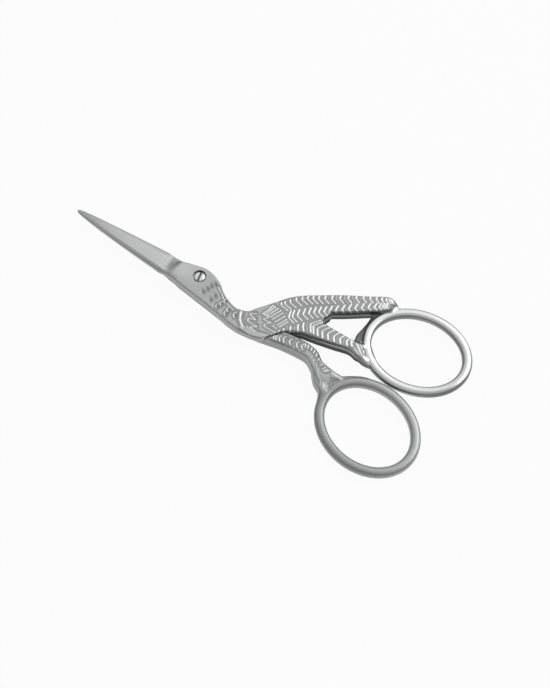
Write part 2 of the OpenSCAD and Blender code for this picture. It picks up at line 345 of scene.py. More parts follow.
def bar_sections(stations):
    """Eight-cornered sections of a bar with bevelled edges."""
    sections = []
    for right, left in zip(long_edge(stations, -1), long_edge(stations, 1)):
        r, l = right[:2], left[:2]
        inwards = BEVEL_WIDTH * (l - r) / np.linalg.norm(l - r)
        half = min(right[2], THICKNESS) / 2
        low, high = MIDDLE - half, MIDDLE + half
        sections.append([
            (*r, low + BEVEL_HEIGHT), (*r, high - BEVEL_HEIGHT), (*(r + inwards), high), (*(l - inwards), high),
            (*l, high - BEVEL_HEIGHT), (*l, low + BEVEL_HEIGHT), (*(l - inwards), low), (*(r + inwards), low),
        ])
    return sections


# %% [markdown]
# A blade is flat inside. Outside it rises in one wide ground face from the cutting edge to a ridge and falls in
# a narrow facet to the spine. The wide face is slightly hollow, as it is from a grinding wheel. Behind the heel
# the section swells to the head's thickness: that slope is called the plunge.

# %% Sections of a blade
BLADE_STEPS = 28
PLUNGE_STEPS = 18
HOLLOW = 0.05


def blade_section(x, cutting, spine, ridge, edge, flat=0.0):
    """One section on the plane of the flat inner face, with the cutting edge towards +Y. At flat 1 it is a bar's."""
    facet = min(SPINE_FACET, spine * 0.6) * (1 - flat) + BEVEL_WIDTH * flat
    ridge_y = -spine + facet
    hollow = HOLLOW * min(1, (cutting - ridge_y) / HEEL_SPINE) * (1 - flat)
    last_t = 0.75 * (1 - flat) + (1 - BEVEL_WIDTH / (cutting - ridge_y)) * flat
    face = [
        (
            x, ridge_y + (cutting - ridge_y) * t,
            ridge + (edge - ridge) * t * (1 - flat) - hollow * math.sin(math.pi * t),
        )
        for t in (last_t / 3, last_t * 2 / 3, last_t)
    ]
    foot = ridge * 0.55 * (1 - flat) + (ridge - BEVEL_HEIGHT) * flat
    return [
        (x, -spine, 0), (x, -spine, foot), (x, ridge_y, ridge), *face,
        (x, cutting, edge), (x, cutting, 0),
    ]


def blade_sections(cutting, spine):
    """The ground blade, from the tip to the heel."""
    sections = []
    for i in range(BLADE_STEPS + 1):
        t = (i / BLADE_STEPS) ** 1.3
        swell = t**BELLY
        sections.append(blade_section(
            -BLADE_LENGTH + (BLADE_LENGTH - HEEL_DISTANCE) * t,
            TIP_WIDTH / 2 + (cutting - TIP_WIDTH / 2) * swell,
            TIP_WIDTH / 2 + (spine - TIP_WIDTH / 2) * swell,
            TIP_THICKNESS + (HEEL_THICKNESS - TIP_THICKNESS) * t,
            EDGE_THICKNESS,
        ))
    return sections


def ease(t):
    """0 to 1 with a soft start and end."""
    t = min(max(t, 0), 1)
    return t * t * (3 - 2 * t)


def plunge_sections(cutting, spine, top, foot, start=PLUNGE_START):
    """From just before the heel up the plunge and into the head."""
    tang = MIDDLE - RIDE_GAP / 2
    start_x = -HEEL_DISTANCE - 0.8
    sections = [blade_section(start_x, cutting * 0.97, spine * 0.97, HEEL_THICKNESS * 0.97, EDGE_THICKNESS)]
    for x in np.linspace(-HEEL_DISTANCE, PLUNGE_END, PLUNGE_STEPS + 1):
        s = ease((x - start) / (PLUNGE_END - start))
        sections.append(blade_section(
            x,
            cutting + (top - cutting) * s,
            spine + (foot - spine) * (x + HEEL_DISTANCE) / (PLUNGE_END + HEEL_DISTANCE),
            HEEL_THICKNESS + (tang - HEEL_THICKNESS) * s,
            EDGE_THICKNESS + (tang - BEVEL_HEIGHT - EDGE_THICKNESS) * s,
            flat=s,
        ))
    sections.append([(x + 2.0, y * 0.9, z * 0.97) for x, y, z in sections[-1]])
    return sections


# %% [markdown]
# The pieces of one forging are fused with a voxel remesh, which also gives an even mesh for the feathers. Clean
# cuts, such as the lap, come afterwards with Boolean modifiers, so that they stay crisp. Both are modifiers that
# are applied by reading the evaluated mesh.

# %% Fusing and cutting
VOXEL = 0.16


def as_object(name, bm):
    """A bmesh as a linked object, still in millimetres."""
    mesh = bpy.data.meshes.new(name)
    bm.to_mesh(mesh)
    bm.free()
    made = bpy.data.objects.new(name, mesh)
    bpy.context.scene.collection.objects.link(made)
    return made


def applied(made):
    """Applies the object's modifiers to its mesh."""
    bpy.context.view_layer.update()
    evaluated = made.evaluated_get(bpy.context.evaluated_depsgraph_get())
    mesh = bpy.data.meshes.new_from_object(evaluated)
    made.modifiers.clear()
    old = made.data
    made.data = mesh
    bpy.data.meshes.remove(old)
    return made


def fused(made):
    """One closed even skin in place of overlapping solids."""
    remesh = made.modifiers.new("fuse", "REMESH")
    remesh.mode = "VOXEL"
    remesh.voxel_size = VOXEL
    return applied(made)


def combine(made, other, operation):
    """Joins the other solid to this one or cuts it away, and removes the other."""
    boolean = made.modifiers.new(operation, "BOOLEAN")
    boolean.operation = operation
    boolean.solver = "MANIFOLD"
    boolean.object = other
    applied(made)
    bpy.data.objects.remove(other)
    return made


def prism(name, outline, low, high):
    """An upright solid over an outline in the plane."""
    bm = bmesh.new()
    loop = section_loop(bm, [(x, y, low) for x, y in outline])
    face = bmesh.ops.contextual_create(bm, geom=loop)["faces"]
    lifted = bmesh.ops.extrude_face_region(bm, geom=face, use_keep_orig=True)["geom"]
    tops = [v for v in lifted if isinstance(v, bmesh.types.BMVert)]
    bmesh.ops.translate(bm, vec=(0, 0, high - low), verts=tops)
    bmesh.ops.recalc_face_normals(bm, faces=bm.faces)
    return as_object(name, bm)


def disc(name, radius, low, high):
    """An upright cylinder on the screw's axis."""
    outline = [(radius * math.cos(a), radius * math.sin(a)) for a in np.linspace(0, 2 * math.pi, 97)[:-1]]
    return prism(name, outline, low, high)


# %% [markdown]
# A finger ring starts as a circle that is spun into a round ring. Every point is then moved from the circle to
# the oval: its angle stays, and its distance from the circle becomes its distance from the oval's centreline.
# The band's section is a little squarer than an ellipse, as on a polished forging, and a little smaller than the
# solid's band, whose twelve flats reach less far than its corners' circle.

# %% Finger rings
RING_STEPS = 200
SECTION_STEPS = 32
SQUARENESS = 2.6
BAND_FIT = 0.95


def finger_ring(name, centre, tilt, fit=BAND_FIT):
    """An oval band with a soft-shouldered section."""
    bm = bmesh.new()
    bmesh.ops.create_circle(bm, segments=SECTION_STEPS, radius=1)
    for v in bm.verts:
        round_off = 2 / SQUARENESS
        x, z = (math.copysign(abs(c) ** round_off, c) for c in v.co.xy)
        v.co = (RING_A + x * BAND_WIDTH / 2 * fit, 0, z * BAND_HEIGHT / 2 * fit)
    geometry = [*bm.verts, *bm.edges]
    bmesh.ops.spin(
        bm, geom=geometry, cent=(0, 0, 0), axis=(0, 0, 1), angle=2 * math.pi, steps=RING_STEPS, use_merge=True
    )
    bmesh.ops.remove_doubles(bm, verts=bm.verts, dist=0.001)
    for v in bm.verts:
        degrees = math.degrees(math.atan2(v.co.y, v.co.x))
        place = ring_spot(centre, tilt, degrees, math.hypot(v.co.x, v.co.y) - RING_A)
        v.co = (*place, MIDDLE + v.co.z)
    bmesh.ops.recalc_face_normals(bm, faces=bm.faces)
    return as_object(name, bm)


def finger_space(centre, tilt):
    """The clear space inside a ring."""
    outline = [ring_spot(centre, tilt, a, -BAND_WIDTH / 2) for a in np.linspace(0, 360, 121)[:-1]]
    return prism("finger_space", outline, -1, THICKNESS + 1)


# %% [markdown]
# The feathers are chased lines: narrow ridges with a lowered bed on both sides. A stroke is a short smooth line
# in the plane. A row of feathers is one bent stroke that is repeated along a guide curve while its two arms
# change slowly. The places were measured in the photo, straightened to the plane of the front face.

# %% Strokes
STROKE_STEPS = 6


def bent(corner, first_arm, second_arm):
    """A stroke from the end of one arm through the corner to the end of the other."""
    corner = np.array(corner, float)
    start, end = corner + np.array(first_arm), corner + np.array(second_arm)
    near, far = corner + 0.25 * (start - corner), corner + 0.2 * (end - corner)
    t = np.linspace(0, 1, STROKE_STEPS + 1)[:, None]
    elbow = (1 - t) ** 2 * near + 2 * t * (1 - t) * corner + t**2 * far
    return np.array([start, *elbow, end])


def feather_row(guide, count, first_arms, second_arms, width):
    """Bent strokes at even steps along a guide curve. Arms are given at its start, middle and end."""
    line = smooth_path(guide, 12)
    steps = np.linspace(0, len(line) - 1, count)
    strokes = []
    for k, step in enumerate(steps):
        share = k / (count - 1)
        corner = [np.interp(step, range(len(line)), line[:, axis]) for axis in (0, 1)]
        arms = [
            [np.interp(share, (0, 0.5, 1), [arm[axis] for arm in three]) for axis in (0, 1)]
            for three in (first_arms, second_arms)
        ]
        strokes.append((bent(corner, *arms), width))
    return strokes


LINE = 0.17
NARROW_LINE = 0.125
FAINT = 0.55
wing_strokes = [
    *feather_row(
        [(17.8, 3.4), (20.8, 7.0), (24.9, 9.8), (30.5, 13.6), (35.0, 16.0), (36.4, 16.8)], 22,
        [(-0.25, 0.5), (-0.1, 0.85), (-0.1, 0.4)], [(1.7, -0.3), (1.15, -0.5), (0.7, -0.4)], LINE,
    ),
    *feather_row(
        [(20.6, 1.8), (23.5, 4.8), (26.8, 7.5), (30.8, 10.9), (34.8, 13.8), (36.1, 14.7)], 21,
        [(-0.4, 1.5), (-0.05, 1.3), (0.0, 1.0)], [(1.5, -0.5), (1.05, -0.25), (0.6, 0.0)], LINE,
    ),
    *feather_row(
        [(25.1, 3.0), (27.6, 2.85), (31.0, 3.2), (34.3, 3.8)], 9,
        [(1.3, 1.7), (0.8, 1.7), (0.1, 1.1)], [(1.1, -1.6), (0.8, -1.1), (0.5, -0.6)], LINE,
    ),
]
print("wing strokes:", len(wing_strokes))

# %% [markdown]
# The neck has small scale-like feathers: a pit with a raised crescent on its lower left side. The breast starts
# with a raised collar, and then has two zigzag fringes and a fan of long parallel feathers.

# %% Neck and breast
PIT_TURN = math.radians(-38)
PIT_LENGTH = 0.58
PIT_WIDTH = 0.36
PIT_GROWTH = 0.04
neck_pits = [
    (3.9, 0.2), (3.4, -0.6), (3.1, -1.6), (2.7, -2.6),
    (5.9, -1.1), (5.3, -2.1), (5.0, -3.3),
    (7.9, -1.9), (7.5, -2.8), (7.1, -3.8),
    (9.5, -3.2), (9.5, -4.2),
    (11.4, -3.5),
]


def crescent(pit, radius):
    """A raised arc on the lower left side of a pit."""
    x, y = pit
    angles = np.radians(np.linspace(130, 255, STROKE_STEPS + 1))
    return np.stack([x + 0.1 + radius * np.cos(angles), y + radius * np.sin(angles)], 1)


neck_strokes = [(crescent(pit, 0.35 + 0.03 * pit[0]), 0.07 + 0.008 * pit[0]) for pit in neck_pits if pit[0] > 4]
neck_strokes += [
    (smooth_path([(4.7, -0.1), (5.4, -0.55), (6.3, -1.15), (7.1, -1.8)], 4), 0.14),
    (smooth_path([(8.2, -2.25), (9.2, -2.6), (10.2, -2.85)], 4), 0.13),
]

breast_strokes = [
    (smooth_path([(11.8, -2.3), (12.1, -3.2), (12.8, -4.2), (14.0, -5.1)], 5), 0.24),
    (smooth_path([(14.6, -1.1), (13.6, -1.8), (15.2, -2.3), (13.9, -2.7)], 3), 0.15),
    (smooth_path([(13.9, -2.7), (14.2, -3.4), (16.3, -3.5), (15.3, -4.3), (16.8, -4.6)], 3), 0.15),
    (smooth_path([(15.7, -0.4), (17.2, -0.3), (16.6, -1.3), (18.2, -1.2)], 3), 0.15),
    (smooth_path([(18.2, -1.2), (17.4, -2.5), (19.9, -2.6)], 3), 0.15),
    *feather_row([(16.2, 0.9), (18.2, 0.9), (20.6, -0.2)], 8,
                 [(0.25, 1.6), (0.6, 1.3), (0.4, 1.0)], [(-0.5, -1.2), (-0.5, -1.2), (-0.4, -0.9)], 0.15),
    *[
        (smooth_path(
            [(13.6 + k * 0.5, -5.35 + k * 0.42), (16.2, -5.55 + k * 0.4), (19.2 + k * 0.3, -4.6 + k * 0.4)], 5
        ), 0.13)
        for k in range(3)
    ],
    *feather_row([(20.0, -3.5), (21.4, -1.3), (24.2, 1.6)], 7,
                 [(-0.1, 0.3), (-0.2, 0.4), (-0.3, 0.8)], [(0.1, -0.3), (0.2, -0.3), (0.7, -0.8)], 0.17),
]
print("neck and breast strokes:", len(neck_strokes), len(breast_strokes))

# %% [markdown]
# The back leg has a row of bent feathers that gets finer towards the foot, and faint short scratches on the foot.
# The front foot has a few long creases that run down into the ring.

# %% Legs and feet
leg_strokes = [
    *feather_row([(20.4, -3.6), (22.3, -2.8), (26.2, -2.2)], 7,
                 [(0.1, 0.3), (0.25, 0.6), (0.3, 0.5)], [(0.4, -0.4), (0.6, -0.75), (0.7, -0.6)], 0.15),
    *feather_row([(26.9, -1.7), (28.6, -1.7), (30.4, -2.6), (32.6, -4.0), (33.6, -4.3)], 10,
                 [(-0.2, 0.4), (-0.1, 0.35), (0.2, 0.35)], [(0.15, -0.4), (-0.1, -0.4), (-0.4, -0.35)], 0.13),
    *[(smooth_path([(x, y), (x + 0.7, y - 0.8), (x + 1.1, y - 1.8)], 4), 0.09) for x, y in
      [(29.2, -3.6), (30.6, -4.2), (31.4, -5.4), (32.4, -6.4), (32.3, -5.1), (33.2, -5.8), (33.4, -7.2), (34.2, -6.4),
       (34.3, -8.4), (35.0, -7.6), (34.8, -9.4), (35.7, -8.6), (34.4, -4.6), (35.4, -5.2), (36.0, -6.6)]],
]
foot_strokes = [
    (smooth_path([(35.2, 7.2), (34.95, 5.8), (35.15, 4.6), (36.0, 3.8), (37.2, 3.1)], 4), 0.2),
    (smooth_path([(35.7, 6.4), (35.6, 5.3), (36.2, 4.5), (37.3, 3.8)], 4), 0.13),
    (smooth_path([(33.9, 4.8), (34.2, 4.0), (34.9, 3.3)], 4), 0.15),
    (smooth_path([(35.3, 3.2), (36.2, 2.8), (37.2, 2.6)], 4), 0.12),
]
front_strokes = wing_strokes + neck_strokes + breast_strokes + foot_strokes
print("strokes on the back leg and the front foot:", len(leg_strokes), len(foot_strokes))

# %% [markdown]
# The relief works on the vertices of the even mesh. For each point the nearest line gives two numbers from 0 to
# 1: ridge, which is 1 on a line, and bed, which is 1 beside it. Both are also kept on the mesh as attributes, so
# the steel can be brighter on the ridges, partly from wear and partly as a painted highlight, and darker in the
# bed as painted shade.

# %% Relief
RELIEF_DEPTH = 0.075
FEET_FROM = 34.0
FEET_SMOOTHING = 14
HEEL_SMOOTHING = 20
FLAT_FROM = 0.8
FLAT_RANGE = 0.15
WIDE_BED = 4.6
NARROW_BED = 2.0
BED_FROM = 0.05
LINE_MARGIN = 7
FACE_DEPTH = 0.5
FEET_DROP = 0.5


def line_distance(points, line):
    """Distance of each point to the nearest place on the line."""
    nearest = np.full(len(points), np.inf)
    for a, b in zip(line, line[1:]):
        along = b - a
        t = np.clip((points - a) @ along / max(along @ along, 1e-9), 0, 1)
        nearest = np.minimum(nearest, np.linalg.norm(points - a - t[:, None] * along, axis=1))
    return nearest


def relief_at(points, strokes, pits):
    """Ridge and bed at points of the plane."""
    ridge, bed = np.zeros(len(points)), np.zeros(len(points))
    for line, width in strokes:
        reach = NARROW_BED if width < NARROW_LINE else WIDE_BED
        margin = LINE_MARGIN * width
        near = np.all((points > line.min(0) - margin) & (points < line.max(0) + margin), axis=1)
        d = line_distance(points[near], line) / width
        force = FAINT if width < NARROW_LINE else 1
        ridge[near] = np.maximum(ridge[near], np.exp(-(d**2)) * force)
        bed[near] = np.maximum(bed[near], np.exp(-((d / reach) ** 4)) * force)
    return ridge, np.maximum(bed, pit_at(points, pits))


def pit_at(points, pits):
    """1 in the middle of a pit, 0 outside."""
    pit = np.zeros(len(points))
    c, s = math.cos(PIT_TURN), math.sin(PIT_TURN)
    for x, y in pits:
        u, v = (points - (x, y)).T / (1 + PIT_GROWTH * x)
        d2 = ((u * c + v * s) / PIT_LENGTH) ** 2 + ((v * c - u * s) / PIT_WIDTH) ** 2
        pit = np.maximum(pit, np.exp(-d2))
    return pit


def on_face(x, z):
    """True on the front face, which lies lower at the feet."""
    return z > THICKNESS - FACE_DEPTH - FEET_DROP * (x > FEET_FROM)


def coordinates(mesh):
    """The mesh's vertices as an array."""
    co = np.empty(len(mesh.vertices) * 3)
    mesh.vertices.foreach_get("co", co)
    return co.reshape(-1, 3)


def chase(made, strokes, pits):
    """Presses the beds into the front face, with a finer mesh where there are lines."""
    bm = bmesh.new()
    bm.from_mesh(made.data)
    feet = [v for v in bm.verts if v.co.x > FEET_FROM]
    heel = [v for v in bm.verts if PLUNGE_START < v.co.x < PLUNGE_END + 1.2]
    for verts, times in ((bm.verts, 2), (feet, FEET_SMOOTHING), (heel, HEEL_SMOOTHING)):
        for _ in range(times):
            bmesh.ops.smooth_vert(bm, verts=verts, factor=0.5, use_axis_x=True, use_axis_y=True, use_axis_z=True)
    tops = [v for v in bm.verts if on_face(v.co.x, v.co.z)]
    bed = relief_at(np.array([v.co.xy for v in tops]), strokes, pits)[1]
    chosen = {v for v, amount in zip(tops, bed) if amount > BED_FROM}
    edges = [e for e in bm.edges if e.verts[0] in chosen and e.verts[1] in chosen]
    bmesh.ops.subdivide_edges(bm, edges=edges, cuts=1, use_grid_fill=True)
    bmesh.ops.triangulate(bm, faces=[f for f in bm.faces if len(f.verts) > 4])
    bm.normal_update()
    tops = [v for v in bm.verts if on_face(v.co.x, v.co.z) and v.normal.z > FLAT_FROM]
    ridge, bed = relief_at(np.array([v.co.xy for v in tops]), strokes, pits)
    for v, lower in zip(tops, RELIEF_DEPTH * bed * (1 - ridge)):
        v.co.z -= lower * min(1, (v.normal.z - FLAT_FROM) / FLAT_RANGE)
    bm.to_mesh(made.data)
    bm.free()
    return made


# %% [markdown]
# Now the front half. Its bars, the plunge and a slim ring are fused and smoothed, which fills the corners between
# tail, foot and ring as forging does, and then chased. The lower layer is cut away where the back half lies, the
# recess for the screw is sunk, and the ring's true band and the ground blade are joined on.

# %% Front half
RECESS_D = 2.85
RECESS_DEPTH = 0.75
SHANK_HOLE_D = 1.88
THREAD_HOLE_D = 1.5
SLIM_FIT = 0.9
FAR = 70


def half_plane(line, side_y, low, high):
    """A solid on one side of a long line in the plane."""
    outline = [(-FAR, line[0][1]), *[tuple(p[:2]) for p in line], (line[-1][0], side_y * FAR), (-FAR, side_y * FAR)]
    return prism("half_plane", outline, low, high)


def blade_space():
    """The space in front of the heel, where the ground blade is joined on."""
    heel = -HEEL_DISTANCE + 0.05
    return prism("blade_space", [(-FAR, -FAR), (heel, -FAR), (heel, FAR), (-FAR, FAR)], -1, THICKNESS + 1)


def blade_on(plane, upwards, sections):
    """Sections of a blade moved onto its plane, turned over if the blade faces down."""
    turn = 1 if upwards else -1
    return [[(x, y * turn, plane + z * turn) for x, y, z in corners] for corners in sections]


def finished_blade(name, plane, upwards, cutting, spine):
    """The crisp ground blade as its own closed solid, ending just inside the plunge."""
    sections = blade_sections(cutting, spine)
    sections.append([(x + 0.25, y * 0.96, z * 0.96) for x, y, z in sections[-1]])
    bm = bmesh.new()
    skin(bm, blade_on(plane, upwards, sections))
    bmesh.ops.recalc_face_normals(bm, faces=bm.faces)
    return as_object(name, bm)


def cut_and_joined(half, lap, ring, blade):
    """Cuts the lap and joins on the ring's true band and the ground blade."""
    combine(half, lap, "DIFFERENCE")
    combine(half, finger_space(*ring), "DIFFERENCE")
    combine(half, blade_space(), "DIFFERENCE")
    combine(half, finger_ring("ring_band", *ring), "UNION")
    combine(half, blade, "UNION")


def forged(name, bars, plunge, ring):
    """Bars, plunge and a slim copy of the ring fused to one skin."""
    slim_ring = finger_ring("slim_ring", *ring, fit=SLIM_FIT)
    bm = bmesh.new()
    bm.from_mesh(slim_ring.data)
    bpy.data.objects.remove(slim_ring)
    for stations in bars:
        skin(bm, bar_sections(stations))
    skin(bm, plunge)
    bmesh.ops.recalc_face_normals(bm, faces=bm.faces)
    return fused(as_object(name, bm))


front_plane = MIDDLE + RIDE_GAP / 2
front_plunge = blade_on(front_plane, True, plunge_sections(HEEL_EDGE, HEEL_SPINE, HEEL_TOP, HEEL_FOOT))
front_bars = [
    front_stations, tail_stations, front_leg_stations, pocket_stations, web_stations, front_toe_stations
]
front = forged("front_half_forging", front_bars, front_plunge, FRONT_RING)
chase(front, front_strokes, neck_pits)
print("front half, fused and chased:", len(front.data.polygons), "faces")

lap_line = long_edge(back_stations, 1, BACK_INSET + STEP_GAP)
front_blade = finished_blade("front_blade", front_plane, True, HEEL_EDGE, HEEL_SPINE)
cut_and_joined(front, half_plane(lap_line, -1, -1, front_plane), FRONT_RING, front_blade)
combine(front, disc("shank_hole", SHANK_HOLE_D / 2, -1, THICKNESS + 1), "DIFFERENCE")
combine(front, disc("recess", RECESS_D / 2, THICKNESS - RECESS_DEPTH, THICKNESS + 1), "DIFFERENCE")
print("front half:", len(front.data.polygons), "faces")

# %% [markdown]
# The back half is made in the same way, with its blade turned over. The lap's upper layer is cut away where the
# front half lies, and its hole is the screw's thread.

# %% Back half
back_plane = MIDDLE - RIDE_GAP / 2
back_edge, back_spine = HEEL_SPINE - BACK_INSET, HEEL_EDGE - BACK_INSET
back_plunge = blade_on(
    back_plane, False,
    plunge_sections(back_edge, back_spine, HEEL_FOOT - BACK_INSET, HEEL_TOP - BACK_INSET, -HEEL_DISTANCE),
)
back_bars = [back_stations, toe_stations, shoulder_stations, spur_stations]
back = forged("back_half_forging", back_bars, back_plunge, BACK_RING)
chase(back, leg_strokes, [])
step_line = long_edge(front_stations, -1, STEP_GAP)
back_blade = finished_blade("back_blade", back_plane, False, back_edge, back_spine)
cut_and_joined(back, half_plane(step_line, 1, back_plane, THICKNESS + 1), BACK_RING, back_blade)
combine(back, disc("thread_hole", THREAD_HOLE_D / 2, -1, THICKNESS + 1), "DIFFERENCE")
print("back half:", len(back.data.polygons), "faces")

# %% [markdown]
# The screw is a turned part: a profile is spun about the axis. Its domed head sits in the recess, and the slot is
# cut with a box that has the turn in which the screw was left.

# %% Pivot screw
HEAD_D = 2.3
HEAD_SINK = 0.1
SHANK_D = 1.8
THREAD_D = 1.5
SLOT_WIDTH = 0.5
SLOT_DEPTH = 0.35
SLOT_TURN = math.radians(102)
DOME = 0.14


def turned_screw():
    """The screw's body of rotation, drawn from the centre of the dome down to the thread's end."""
    head_top = THICKNESS - HEAD_SINK
    seat = THICKNESS - RECESS_DEPTH + 0.03
    rim = head_top - DOME
    radius = HEAD_D / 2
    dome = [(radius * 0.96 * math.sin(a), rim + DOME * math.cos(a)) for a in np.linspace(0, math.pi / 2, 12)]
    profile = [
        *dome, (radius, rim - 0.05), (radius, seat + 0.04), (radius - 0.04, seat), (SHANK_D / 2, seat),
        (SHANK_D / 2, MIDDLE - RIDE_GAP / 2), (THREAD_D / 2, MIDDLE - RIDE_GAP / 2), (THREAD_D / 2, 0.06),
        (THREAD_D / 2 - 0.06, 0), (0, 0),
    ]
    bm = bmesh.new()
    verts = [bm.verts.new((r, 0, z)) for r, z in profile]
    edges = [bm.edges.new(pair) for pair in zip(verts, verts[1:])]
    bmesh.ops.spin(
        bm, geom=verts + edges, cent=(0, 0, 0), axis=(0, 0, 1), angle=2 * math.pi, steps=64, use_merge=True
    )
    bmesh.ops.remove_doubles(bm, verts=bm.verts, dist=0.0005)
    bmesh.ops.recalc_face_normals(bm, faces=bm.faces)
    return as_object("slotted_screw", bm)


screw = turned_screw()
along = np.array([math.cos(SLOT_TURN), math.sin(SLOT_TURN)])
beside = np.array([-along[1], along[0]])
slot_outline = [HEAD_D * a * along + SLOT_WIDTH / 2 * b * beside for a, b in ((-1, -1), (1, -1), (1, 1), (-1, 1))]
combine(screw, prism("slot", slot_outline, THICKNESS - HEAD_SINK - SLOT_DEPTH, THICKNESS + 1), "DIFFERENCE")
print("screw:", len(screw.data.polygons), "faces")

# %% [markdown]
# Shader maths is easier to read as Python. A Wire is a socket with arithmetic: adding two wires adds a Math node.
# Any other node comes from the one method node, with its settings first and then its sockets.

# %% Shader wires
class Wire:
    """A shader socket that takes part in Python expressions."""

    def __init__(self, tree, socket):
        self.tree = tree
        self.socket = socket

    def node(self, kind, settings, values, output=0):
        """Adds a node: first its settings, then the values or links of its sockets."""
        made = self.tree.nodes.new(kind)
        for name, value in settings.items():
            setattr(made, name, value)
        for name, value in values.items():
            if isinstance(value, Wire):
                self.tree.links.new(value.socket, made.inputs[name])
            else:
                made.inputs[name].default_value = value
        return Wire(self.tree, made.outputs[output])

    def maths(self, operation, *terms):
        """A Math node on two or three terms."""
        return self.node("ShaderNodeMath", {"operation": operation}, dict(enumerate(terms)))

    def __add__(self, other):
        return self.maths("ADD", self, other)

    __radd__ = __add__

    def __mul__(self, other):
        return self.maths("MULTIPLY", self, other)

    __rmul__ = __mul__

    def __sub__(self, other):
        return self.maths("SUBTRACT", self, other)

    def __rsub__(self, other):
        return self.maths("SUBTRACT", other, self)


def new_material(name):
    """An empty node material, its Principled shader and a first wire: the Object coordinates."""
    material = bpy.data.materials.new(name)
    material.use_nodes = True
    tree = material.node_tree
    tree.nodes.clear()
    shader = tree.nodes.new("ShaderNodeBsdfPrincipled")
    output = tree.nodes.new("ShaderNodeOutputMaterial")
    tree.links.new(shader.outputs[0], output.inputs["Surface"])
    place = tree.nodes.new("ShaderNodeTexCoord")
    return material, shader, Wire(tree, place.outputs["Object"])


def remapped(wire, span, strengths):
    """The wire's values over a span turned into strengths, level on both sides of it."""
    return wire.node(
        "ShaderNodeMapRange", {}, {0: wire, 1: span[0], 2: span[1], 3: strengths[0], 4: strengths[1]}
    )


def link(wire, shader, socket):
    """Feeds a wire to one socket of the shader."""
    wire.tree.links.new(wire.socket, shader.inputs[socket])


# %% [markdown]
# The steel has several finishes on one forging: blade and body are satin, the upper ring is polished and the lower
# one duller. Light is also painted into the tone: a painted sheen on ground faces and the upper ring, a painted
# highlight on the lower ring's upper right side, and painted shade on upright walls, the window's most of all, on
# the rings' flanks and in the recess and slot. Attributes on the mesh say where each one is. A fine stretched noise
# gives the grinding lines, a slow one the slight clouds in the tone, and both also shape the roughness. A limit
# keeps the ridges, bright from wear and painted highlight, from turning pure white.

# %% Steel
RIDGE_WEAR_AND_HIGHLIGHT_GAIN = 0.70
BED_PAINTED_SHADE = 0.36
PAINTED_SHEEN_GAIN = 0.38
FLANK_PAINTED_SHADE = 0.40
PAINTED_SHADE_LOSS = 0.82
BRIGHTEST = 1.7


def steel(name, tone, satin, polished, painted_ring_light):
    """Satin steel with zones from the mesh's attributes: ridges, beds, polish, painted shade, painted flank shade and
    painted sheen.
    """
    material, shader, place = new_material(name)
    zones = {
        zone: place.node("ShaderNodeAttribute", {"attribute_name": zone}, {}, output="Fac")
        for zone in ("ridge", "bed", "polish", "painted_shade", "flank_shade", "ground")
    }
    stretched = place.node("ShaderNodeMapping", {}, {"Vector": place, "Scale": (1.0, 0.12, 1.0)})
    grind = place.node("ShaderNodeTexNoise", {}, {"Vector": stretched, "Scale": 9000.0, "Detail": 3.0})
    grain = place.node("ShaderNodeTexNoise", {}, {"Vector": place, "Scale": 5200.0, "Detail": 4.0})
    cloud = place.node("ShaderNodeTexNoise", {}, {"Vector": place, "Scale": 160.0, "Detail": 3.0})
    plain = 1 - zones["polish"]
    wear_and_highlight = zones["ridge"] * zones["bed"]
    layers = place.node("ShaderNodeMapping", {}, {"Vector": place, "Scale": (0.04, 0.04, 1.0)})
    lines = place.node("ShaderNodeTexNoise", {}, {"Vector": layers, "Scale": 4500.0, "Detail": 2.0})
    # Ridges are brighter, partly from wear and partly as a painted highlight; the bed is darker as painted shade.
    shade = 1 + wear_and_highlight * RIDGE_WEAR_AND_HIGHLIGHT_GAIN - (zones["bed"] - wear_and_highlight) * BED_PAINTED_SHADE
    # Painted light: on the rings the polish zone brightens the upper ring and darkens the lower one; the ground zone
    # is a painted sheen on ground faces, with painted shade and a painted highlight on the rings.
    shade = shade + zones["polish"] * painted_ring_light + zones["ground"] * PAINTED_SHEEN_GAIN
    # Painted shade on upright walls and on the rings' flanks, set by how far the normal turns from upright.
    shade = shade * (1 - zones["flank_shade"] * (FLANK_PAINTED_SHADE + zones["polish"] * painted_ring_light * 0.6))
    # Painted shade in the window, recess and slot, between the halves and at the foot of the walls.
    shade = shade * (1 - zones["painted_shade"] * PAINTED_SHADE_LOSS)
    shade = shade + (cloud - 0.5) * 0.1 + (grain - 0.5) * plain * 0.12 + (lines - 0.5) * zones["flank_shade"] * plain * 0.3
    shade = shade.maths("MINIMUM", shade, BRIGHTEST)
    colour = place.node(
        "ShaderNodeMix", {"data_type": "RGBA", "blend_type": "MULTIPLY"},
        {"Factor": 1.0, 6: (*tone, 1), 7: place.node("ShaderNodeCombineColor", {}, {0: shade, 1: shade, 2: shade})},
        output=2,
    )
    rough = satin * plain + polished * zones["polish"] + (cloud - 0.5) * 0.08 + (grind - 0.5) * plain * 0.12
    rough = rough + zones["painted_shade"] * 0.2 - wear_and_highlight * 0.06
    height = (grind - 0.5) * plain * 0.6 + (grain - 0.5) * plain
    bump = place.node("ShaderNodeBump", {}, {"Strength": 0.12, "Distance": 0.00002, "Height": height})
    link(colour, shader, "Base Color")
    link(rough, shader, "Roughness")
    link(bump, shader, "Normal")
    shader.inputs["Metallic"].default_value = 1.0
    return material


# The last number is painted ring light: a painted sheen on the upper ring, painted shade on the lower ring.
front_steel = steel("front_satin_steel", (0.55, 0.56, 0.56), 0.36, 0.18, 0.66)
back_steel = steel("back_satin_steel", (0.49, 0.50, 0.50), 0.40, 0.38, -0.18)
screw_steel = steel("screw_steel", (0.88, 0.89, 0.89), 0.22, 0.20, 0.0)

# %% [markdown]
# The attributes are worked out from the place and the normal of each vertex once the mesh is whole. Then the mesh
# is shrunk to metres, gets smooth shading with sharp edges kept, and rides on its body.

